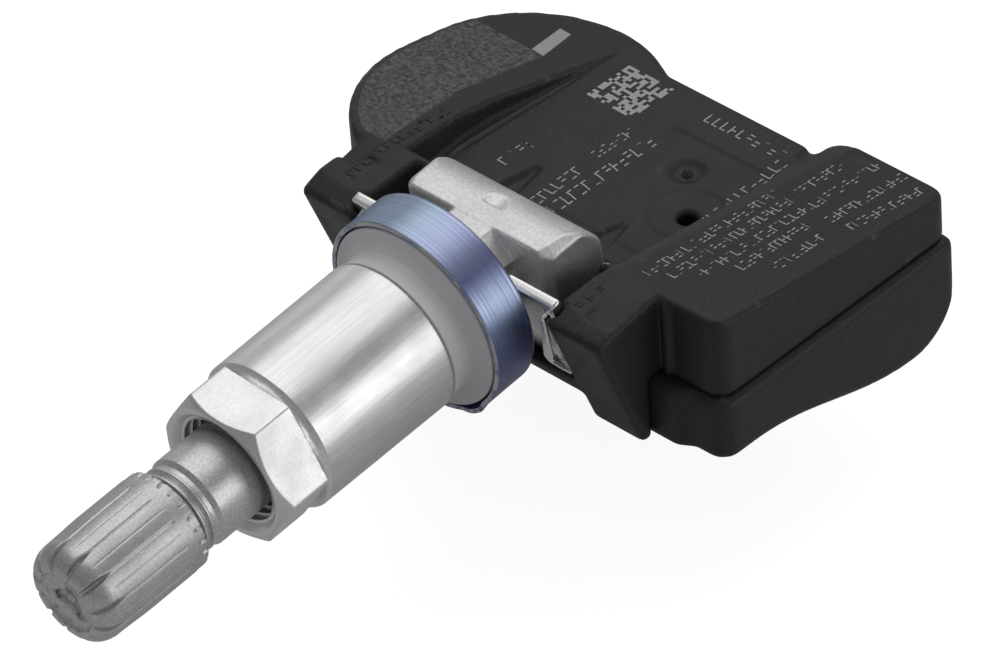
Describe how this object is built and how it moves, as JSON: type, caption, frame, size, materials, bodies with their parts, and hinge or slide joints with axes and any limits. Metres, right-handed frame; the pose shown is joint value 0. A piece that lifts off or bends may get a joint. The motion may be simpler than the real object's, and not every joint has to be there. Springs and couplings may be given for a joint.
{
  "type": "tyre pressure sensor",
  "caption": "Wheel pressure sensor: black two-shell housing that tilts on the crossbar of an aluminium clamp-in valve, with cup washer, rubber grommet, collar nut and fluted cap.",
  "frame": {"origin": "centre of the valve-hole seat, on the valve's axis where the grommet meets the rim", "axes": "+Z away from the rim well, square to the housing floor; +X along the crossbar; the valve points to -Y, 5.4 degrees below it"},
  "size_m": [0.0508, 0.0833, 0.0245],
  "materials": {
    "black_plastic": "fine mould texture",
    "bright_steel": "bright",
    "cast_metal": "cast, blasted",
    "blue_steel": "tempered blue, fine rings",
    "grey_rubber": "smooth",
    "nut_metal": "turned",
    "cap_plastic": "moulded",
    "ring_plastic": "smooth",
    "dark_rubber": "smooth",
    "brass": "turned",
    "red_seal": "smooth",
    "spring_steel": "drawn wire",
    "green_board": "coated",
    "nickel": "plated",
    "black_epoxy": "moulded",
    "copper_wire": "lacquered winding",
    "ceramic_tan": "fired"
  },
  "bodies": {
    "housing": {"housing_cover": "black_plastic", "housing_base": "black_plastic", "retaining_plate": "bright_steel", "circuit_board": "green_board", "coin_cell": "nickel", "upper_tab": "nickel", "lower_tab": "nickel", "sensor_chip": "black_epoxy", "port_seal": "dark_rubber", "trigger_coil": "copper_wire", "crystal": "nickel", "capacitors": "ceramic_tan", "antenna_loop": "brass"},
    "valve": {"valve_stem": "cast_metal", "cup_washer": "blue_steel", "grommet": "grey_rubber", "core_body": "brass", "core_gasket": "red_seal", "core_spring": "spring_steel"},
    "ring": {"slip_ring": "ring_plastic"},
    "nut": {"collar_nut": "nut_metal"},
    "seal": {"cap_seal": "dark_rubber"},
    "cap": {"valve_cap": "cap_plastic"},
    "pin": {"core_pin": "brass", "core_seal": "dark_rubber"}
  },
  "joints": [
    {"name": "valve_tilt", "type": "hinge", "parent": "housing", "child": "valve", "pos_m": [0, 0.01015, 0.00096], "axis": [1, 0, 0], "range_deg": [-3, 15]},
    {"name": "nut_travel", "type": "slide", "parent": "valve", "child": "ring", "axis": [0, -0.9956, -0.0941], "range_m": [0, 0.012]},
    {"name": "nut_turn", "type": "hinge", "parent": "ring", "child": "nut", "pos_m": [0, 0, 0], "axis": [0, -0.9956, -0.0941], "range_deg": [0, 4332]},
    {"name": "cap_travel", "type": "slide", "parent": "valve", "child": "seal", "axis": [0, -0.9956, -0.0941], "range_m": [0, 0.00595]},
    {"name": "cap_turn", "type": "hinge", "parent": "seal", "child": "cap", "pos_m": [0, 0, 0], "axis": [0, -0.9956, -0.0941], "range_deg": [0, 2710]},
    {"name": "pin_travel", "type": "slide", "parent": "valve", "child": "pin", "axis": [0, 0.9956, 0.0941], "range_m": [0, 0.001], "stiffness_N_per_m": 900, "springref_m": -0.002, "deforming": ["core_spring"]}
  ],
  "couplings": [
    {"joint": "nut_turn", "follows": "nut_travel", "rad_per_m": 6283.2},
    {"joint": "cap_turn", "follows": "cap_travel", "rad_per_m": 7913.3}
  ]
}
